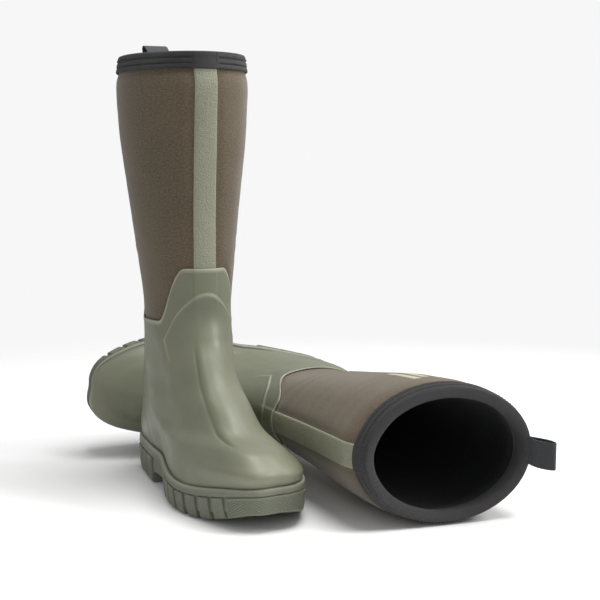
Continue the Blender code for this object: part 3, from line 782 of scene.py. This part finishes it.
def make_tab(boot):
    """A loop of webbing, sewn down where its ends meet on the rim."""
    around = int(96 * FINE)
    turn = np.linspace(0, 2 * math.pi, around, endpoint=False)
    half = TAB_WIDTH / 2
    section = [(-half, 0.45), (-half + 0.25, 0.0), (-half + 1.2, -0.05)]
    section += [(x, 0.05 * math.sin(x * 2.1)) for x in np.linspace(-half + 2.4, half - 2.4, 16)]
    section += [(half - 1.2, -0.05), (half - 0.25, 0.0), (half, 0.45)]
    other_side = [(x, TAB_THICKNESS - grow) for x, grow in section[::-1]]
    rows = []
    for x, grow in section + other_side:
        depth, rise = tab_loop(grow, turn)
        rows.append(tab_place(boot, np.full(around, x), depth, rise))
    points = np.array(rows)
    run = np.cumsum(np.linalg.norm(np.diff(points[8], axis=0, append=points[8][:1]), axis=1)) * MM
    across = np.array([x for x, _ in section + other_side]) * MM
    uv = np.stack(np.meshgrid(run, across), -1)
    faces = [f[::-1] for f in loop_faces(len(points), around, True)]
    boot.add("pull_tab", points, faces, WEBBING, "webbing", ["pull_tab"], body="tab", uv=uv)
    parts = []
    for side in (-1, 1):
        for share in (0.30, 0.40):
            at = math.pi * share if side > 0 else 2 * math.pi - math.pi * share
            depth, rise = tab_loop(-0.05, at)
            x = np.arange(-half + 2.0, half - 1.9, 2.1)
            line = tab_place(boot, x, np.full(x.shape, depth), np.full(x.shape, rise))
            out = tab_place(boot, 0, depth + side * 1.0, rise) - tab_place(boot, 0, depth, rise)
            parts += stitch_line(line, np.broadcast_to(out, line.shape), 0.3, 0.78)
    points, faces = joined(parts)
    boot.add("pull_tab_stitches", points, faces, THREAD, "webbing", body="tab")


# ---------------------------------------------------------------- sole

# The feather line, where the upper meets the sole: its places by distance run from the toe, first round the
# outer side to the heel, then back along the inner side.
_turn = np.linspace(0, 2 * math.pi, 4001)
_line = form(np.zeros(_turn.shape), np.where(_turn > math.pi, _turn - 2 * math.pi, _turn))
_run = np.concatenate([[0], np.cumsum(np.linalg.norm(np.diff(_line[:, :2], axis=0), axis=1))])
PERIMETER = _run[-1]
_even = np.linspace(0, PERIMETER, 1600, endpoint=False)
_ring = np.stack([np.interp(_even, _run, _line[:, i]) for i in range(3)], 1)
_ahead = np.roll(_ring, -8, 0)[:, :2] - np.roll(_ring, 8, 0)[:, :2]
_out = np.stack([-_ahead[:, 1], _ahead[:, 0]], 1) * -1
_out /= np.linalg.norm(_out, axis=1, keepdims=True)
_out *= np.sign((_out * (_ring[:, :2] - (0, -90))).sum(1, keepdims=True))
HEEL_RUN = _even[np.argmax(_ring[:, 1])]


def feather(run, out):
    """Points beside the feather line, out from it in plan."""
    run = np.mod(run, PERIMETER)
    cells = [np.interp(run, _even, values, period=PERIMETER) for values in (*_ring.T, *_out.T)]
    return np.stack([cells[0] + cells[3] * out, cells[1] + cells[4] * out, cells[2]], -1)


def feather_height(angle):
    return form(np.zeros(np.shape(angle)), angle)[..., 2]


def run_at(reach, side):
    """Distance run along the feather line to a reach, on the outer side (1) or the inner side (-1)."""
    if side > 0:
        part = _even < HEEL_RUN
        return np.interp(-reach, _ring[part, 1], _even[part])
    part = _even > HEEL_RUN
    return np.interp(-reach, _ring[part, 1][::-1], _even[part][::-1])


_reaches = np.linspace(-55, 222, 60)
CENTRE_LINE = (-_reaches[::-1], np.array([
    (feather(run_at(r, 1), 0)[0] + feather(run_at(r, -1), 0)[0]) / 2 for r in _reaches])[::-1])


def spring(y):
    """How far the toe end of the tread rises off the ground."""
    return TOE_SPRING * np.clip((-y - SPRING_START) / (TOE_REACH - SPRING_START), 0, 1) ** 2


def wall(run, out, share):
    """A point of the sole's wall, a share of the way from the ground to the feather line."""
    point = feather(run, out)
    low = spring(point[..., 1])
    point[..., 2] = low + (point[..., 2] - 0.5 - low) * share
    return point


def base_height(y):
    """The bottom of the sole between its lugs, raised under the arch."""
    arch = ease(-y, ARCH_START - 6, ARCH_START + 8) * (1 - ease(-y, ARCH_END - 12, ARCH_END + 4))
    return spring(y) + 6.5 + 6.2 * arch


WALL_SHARES = (0.0, 0.06, 0.22, 0.62, 0.7)
WALL_OUTS = (0.6, 2.2, 3.3, 4.3, 4.25)


def make_sole_body(boot):
    """The smooth band round the foot, with the grooved root of the lugs and the bottom between them."""
    across = int(420 * FINE)
    run = np.linspace(0, PERIMETER, across, endpoint=False)
    band = [(-0.6, 1.012), (0.8, 1.014), (2.2, 1.01), (3.0, 0.992), (3.45, 0.965), (3.6, 0.93), (3.7, 0.86),
            (3.75, 0.8), (3.6, 0.755), (3.2, 0.735), (2.4, 0.722), (1.7, 0.70), (1.5, 0.66)]
    rings = [wall(run, out, share) for out, share in band]
    for out in (1.3, 0.9, 0.0):
        low = feather(run, out)
        low[:, 2] = base_height(low[:, 1]) + (1.2 if out == 1.3 else 0)
        rings.append(low)
    recess_top, recess_floor = feather(run, -2.5) - (0, 0, 0.5), feather(run, -2.5) - (0, 0, 9.9)
    points = np.array([recess_floor, recess_top] + rings)
    count = len(points)
    faces = []
    for i in range(count - 1):
        for j in range(across):
            m = (j + 1) % across
            faces.append((i * across + m, i * across + j, (i + 1) * across + j, (i + 1) * across + m))
    faces += ladder(across, 0) + [f[::-1] for f in ladder(across, (count - 1) * across)]
    # Painted highlight on the top and outer corner of the smooth band, where it faces the light.
    wear = np.zeros(points.shape[:2])
    wear[4:8] = np.array([0.35, 0.8, 0.6, 0.25])[:, None]
    boot.add("outsole_body", points, faces, SOLE, "lug_rubber", ["outsole"], wear=wear, sharp=45)


def side_lug(start, end, pitch, slant):
    """One lug on the edge of the sole, between two distances run, with fine ribs up its face."""
    columns = max(8, int((end - start) / 0.65 * FINE))
    across = np.linspace(0, 1, columns)
    from_end = np.clip(np.minimum(across, 1 - across) * (end - start) / 1.1, 0, 1)
    end_cut = 1 - np.sqrt(1 - (1 - from_end) ** 2)
    run = start + (end - start) * across
    ribs = 0.42 * np.abs(np.mod(run / pitch, 1) * 2 - 1)
    rows = [(-3.0, 0.735), (2.6, 0.715), (3.7, 0.70), (4.2, 0.67)]
    rows += [(np.interp(s, WALL_SHARES, WALL_OUTS), s) for s in np.linspace(0.62, 0.0, 13)]
    grid = []
    for out, share in rows:
        face = ease(share, 0.02, 0.14) * (1 - ease(share, 0.60, 0.68))
        shift = slant * (0.5 - share)
        grid.append(wall(run + shift, out - 1.1 * end_cut - ribs * face, max(share, 0) + 0.02 * end_cut))
    for inward, up in ((-3.0, 0.0), (-9.0, 0.0), (-13.2, 0.0), (-14.4, 1.1), (-15.0, 9.0)):
        point = feather(run + slant * 0.5, inward)
        point[:, 2] = spring(point[:, 1]) + up + 0.5 * end_cut
        grid.append(point)
    points = np.array(grid)
    faces = loop_faces(len(points), columns, False) + end_faces(len(points), columns)
    return points, [f[::-1] for f in faces]


def toe_tread(start, end):
    """The wrap of tread round the toe, cut with nested chevrons."""
    columns = int((end - start) / 0.6 * FINE)
    run = np.linspace(start, end, columns)
    share_rows = np.linspace(0.69, 0.0, int(30 * FINE))
    rows = [(-3.0, 0.735, 0.0), (2.6, 0.715, 0.0), (3.7, 0.705, 0.0)]
    rows += [(np.interp(s, WALL_SHARES, WALL_OUTS), s, 1.0) for s in share_rows]
    group, pitch = 30.0, 2.9
    grid = []
    for out, share, cut in rows:
        line = wall(run, out, share)
        zigzag = np.abs(np.mod((run + 6.0) / group, 1) * 2 - 1) * group / 2
        lines = np.abs(np.mod((line[:, 2] * 1.15 - zigzag * 0.85) / pitch, 1) * 2 - 1)
        edge = ease(share, 0.03, 0.12) * (1 - ease(share, 0.60, 0.68))
        ends = ease(np.minimum(run - start, end - run), 0.3, 2.0)
        grid.append(wall(run, out + 0.25 - 0.95 * lines * cut * edge * ends - 0.8 * (1 - ends), share))
    for inward, up in ((-4.0, 0.0), (-10.0, 0.0), (-14.0, 0.4), (-15.0, 1.5), (-15.5, 9.0)):
        point = feather(run, inward)
        point[:, 2] = spring(point[:, 1]) + up
        grid.append(point)
    points = np.array(grid)
    faces = loop_faces(len(points), columns, False) + end_faces(len(points), columns)
    return points, [f[::-1] for f in faces]


def cross_bar(reach, thickness, point_ahead, margin):
    """A tread bar across the bottom, pointing to the toe."""
    left, right = feather(run_at(reach, -1), 0)[0] + margin, feather(run_at(reach, 1), 0)[0] - margin
    middle, half = (left + right) / 2, (right - left) / 2
    x = np.linspace(left, right, 17)
    ahead = point_ahead * (1 - np.abs(x - middle) / half)
    rows = []
    for along, up in ((-0.5, 8.0), (-0.5, 0.9), (-0.40, 0.0), (0.40, 0.0), (0.5, 0.9), (0.5, 8.0)):
        y = -(reach + ahead) + along * thickness
        rows.append(np.stack([x, y, spring(y) + up], -1))
    points = np.array(rows)
    faces = loop_faces(len(points), len(x), False) + end_faces(len(points), len(x))
    return points, [f[::-1] for f in faces]


def make_lugs(boot):
    """Every lug of the outsole: the edge lugs and cross bars of the forefoot and heel, and the toe tread."""
    gap = 2.3
    forefoot = [ARCH_END + 1] + list(FOREFOOT_GAPS)
    heel = list(HEEL_GAPS) + [ARCH_START]
    parts = {"forefoot_lugs": [], "heel_lugs": []}
    for side in (-1, 1):
        for near, far in zip(forefoot[:-1], forefoot[1:]):
            ends = sorted((run_at(near + gap * (near > ARCH_END + 2), side), run_at(far - gap, side)))
            parts["forefoot_lugs"].append(side_lug(*ends, 2.7, -side * 3.5))
        for near, far in zip(heel[:-1], heel[1:]):
            ends = sorted((run_at(near + gap, side), run_at(far - gap * (far < ARCH_START), side)))
            parts["heel_lugs"].append(side_lug(*ends, 2.7, side * 2.0))
        back = run_at(HEEL_GAPS[0] - gap, side)
        ends = sorted((back, HEEL_RUN + (-gap if side > 0 else gap)))
        parts["heel_lugs"].append(side_lug(*ends, 2.7, 0.0))
    for reach in (96, 116, 136, 156, 176, 194):
        parts["forefoot_lugs"].append(cross_bar(reach, 9.5, 7.0, 20.0))
    for reach in (-30, -8, 12):
        parts["heel_lugs"].append(cross_bar(reach, 10.0, 5.0, 20.0))
    for name, some in parts.items():
        points, faces = joined(some)
        boot.add(name, points, faces, SOLE, "lug_rubber", wear=np.zeros(len(points)), sharp=30)
    start, end = run_at(FOREFOOT_GAPS[-1] + gap, -1) - PERIMETER, run_at(FOREFOOT_GAPS[-1] + gap, 1)
    points, faces = toe_tread(start, end)
    boot.add("toe_tread", points, faces, SOLE, "lug_rubber", wear=np.zeros(points.shape[:2]), sharp=30)


# ---------------------------------------------------------------- the two boots

for side in ("left", "right"):
    boot = Boot(side)
    make_shell(boot)
    make_overlay(boot)
    make_panel(boot, "outer_panel", 1)
    make_panel(boot, "inner_panel", -1)
    make_strip(boot, "shin_strip", False)
    make_strip(boot, "back_strip", True)
    make_lining(boot)
    make_insole(boot)
    make_marks(boot)
    make_binding(boot)
    make_stitches(boot)
    make_tab(boot)
    make_sole_body(boot)
    make_lugs(boot)
    for node, material in (("midsole", FOAM), ("shank", STEEL), ("insole_board", BOARD),
                           ("toe_puff", BOARD), ("heel_counter", BOARD)):
        kept = frame["nodes"][f"{side}_{node}"]
        kept.data.materials.clear()
        kept.data.materials.append(material)

# ---------------------------------------------------------------- floor, light and camera


def make_floor():
    """A pale floor round the boots that clears into the backdrop further out."""
    low, high = cad_box
    middle = ((low[0] + high[0]) / 2, (low[1] + high[1]) / 2)
    mesh = bpy.data.meshes.new("floor")
    half = 12.0
    corners = [(-half, -half, 0), (half, -half, 0), (half, half, 0), (-half, half, 0)]
    mesh.from_pydata(corners, [], [(0, 1, 2, 3)])
    s = Shader("floor_paper", 0.9, specular=0.0)
    grain = s.noise(300, 2)
    s.finish(s.blend(grain, (0.86, 0.86, 0.86), (0.88, 0.88, 0.88)))
    away = s.node("VectorMath", {"operation": "LENGTH"}, Vector=s.node("TexCoord").outputs["Object"])
    clear = s.node("MixShader")
    s.put(clear.inputs["Fac"], s.span(away.outputs["Value"], 0.0, 1.0, 0.45, 1.1))
    s.put(clear.inputs[1], s.main.outputs["BSDF"])
    s.put(clear.inputs[2], s.node("BsdfTransparent").outputs["BSDF"])
    s.put(s.tree.nodes["Material Output"].inputs["Surface"], clear.outputs["Shader"])
    mesh.materials.append(s.material)
    floor = bpy.data.objects.new("floor", mesh)
    floor.location = (*middle, -0.0004)
    bpy.context.scene.collection.objects.link(floor)


def area_light(name, place, aim, size, power, colour=(1, 1, 1)):
    data = bpy.data.lights.new(name, "AREA")
    data.shape, data.size, data.energy, data.color = "DISK", size, power, colour
    made = bpy.data.objects.new(name, data)
    made.location = place
    made.rotation_euler = (Vector(aim) - Vector(place)).to_track_quat("-Z", "Y").to_euler()
    bpy.context.scene.collection.objects.link(made)


def make_world():
    """A white room: bright behind the boots, softer as light on them."""
    world = bpy.data.worlds.new("room")
    world.use_nodes = True
    nodes, links = world.node_tree.nodes, world.node_tree.links
    seen, light = nodes["Background"], nodes.new("ShaderNodeBackground")
    seen.inputs["Color"].default_value = (0.93, 0.93, 0.93, 1)
    light.inputs["Color"].default_value = (1, 1, 1, 1)
    light.inputs["Strength"].default_value = 0.50
    mix = nodes.new("ShaderNodeMixShader")
    links.new(nodes.new("ShaderNodeLightPath").outputs["Is Camera Ray"], mix.inputs["Fac"])
    links.new(light.outputs[0], mix.inputs[1])
    links.new(seen.outputs[0], mix.inputs[2])
    links.new(mix.outputs[0], nodes["World Output"].inputs["Surface"])
    bpy.context.scene.world = world


def make_camera():
    """The camera looks at the pair from in front of the standing boot's inner side, a little from above."""
    data = bpy.data.cameras.new("camera")
    data.sensor_width, data.lens = 36.0, 76.96
    data.shift_x, data.shift_y = 0.0236, -0.0216
    made = bpy.data.objects.new("camera", data)
    made.location = (-0.3622, -1.2749, 0.3285)
    made.rotation_euler = (math.radians(90 - 5.672), 0, math.radians(-20.512))
    bpy.context.scene.collection.objects.link(made)
    bpy.context.scene.camera = made


make_floor()
make_world()
make_camera()
area_light("overhead", (0.45, -0.25, 2.1), (0.1, -0.05, 0.1), 1.5, 44)
area_light("right_key", (1.7, -0.9, 1.3), (0.05, 0, 0.15), 0.8, 26)
area_light("front_fill", (-0.9, -2.2, 0.9), (0.05, 0, 0.15), 1.2, 4)
bpy.context.scene.view_settings.view_transform = "Standard"
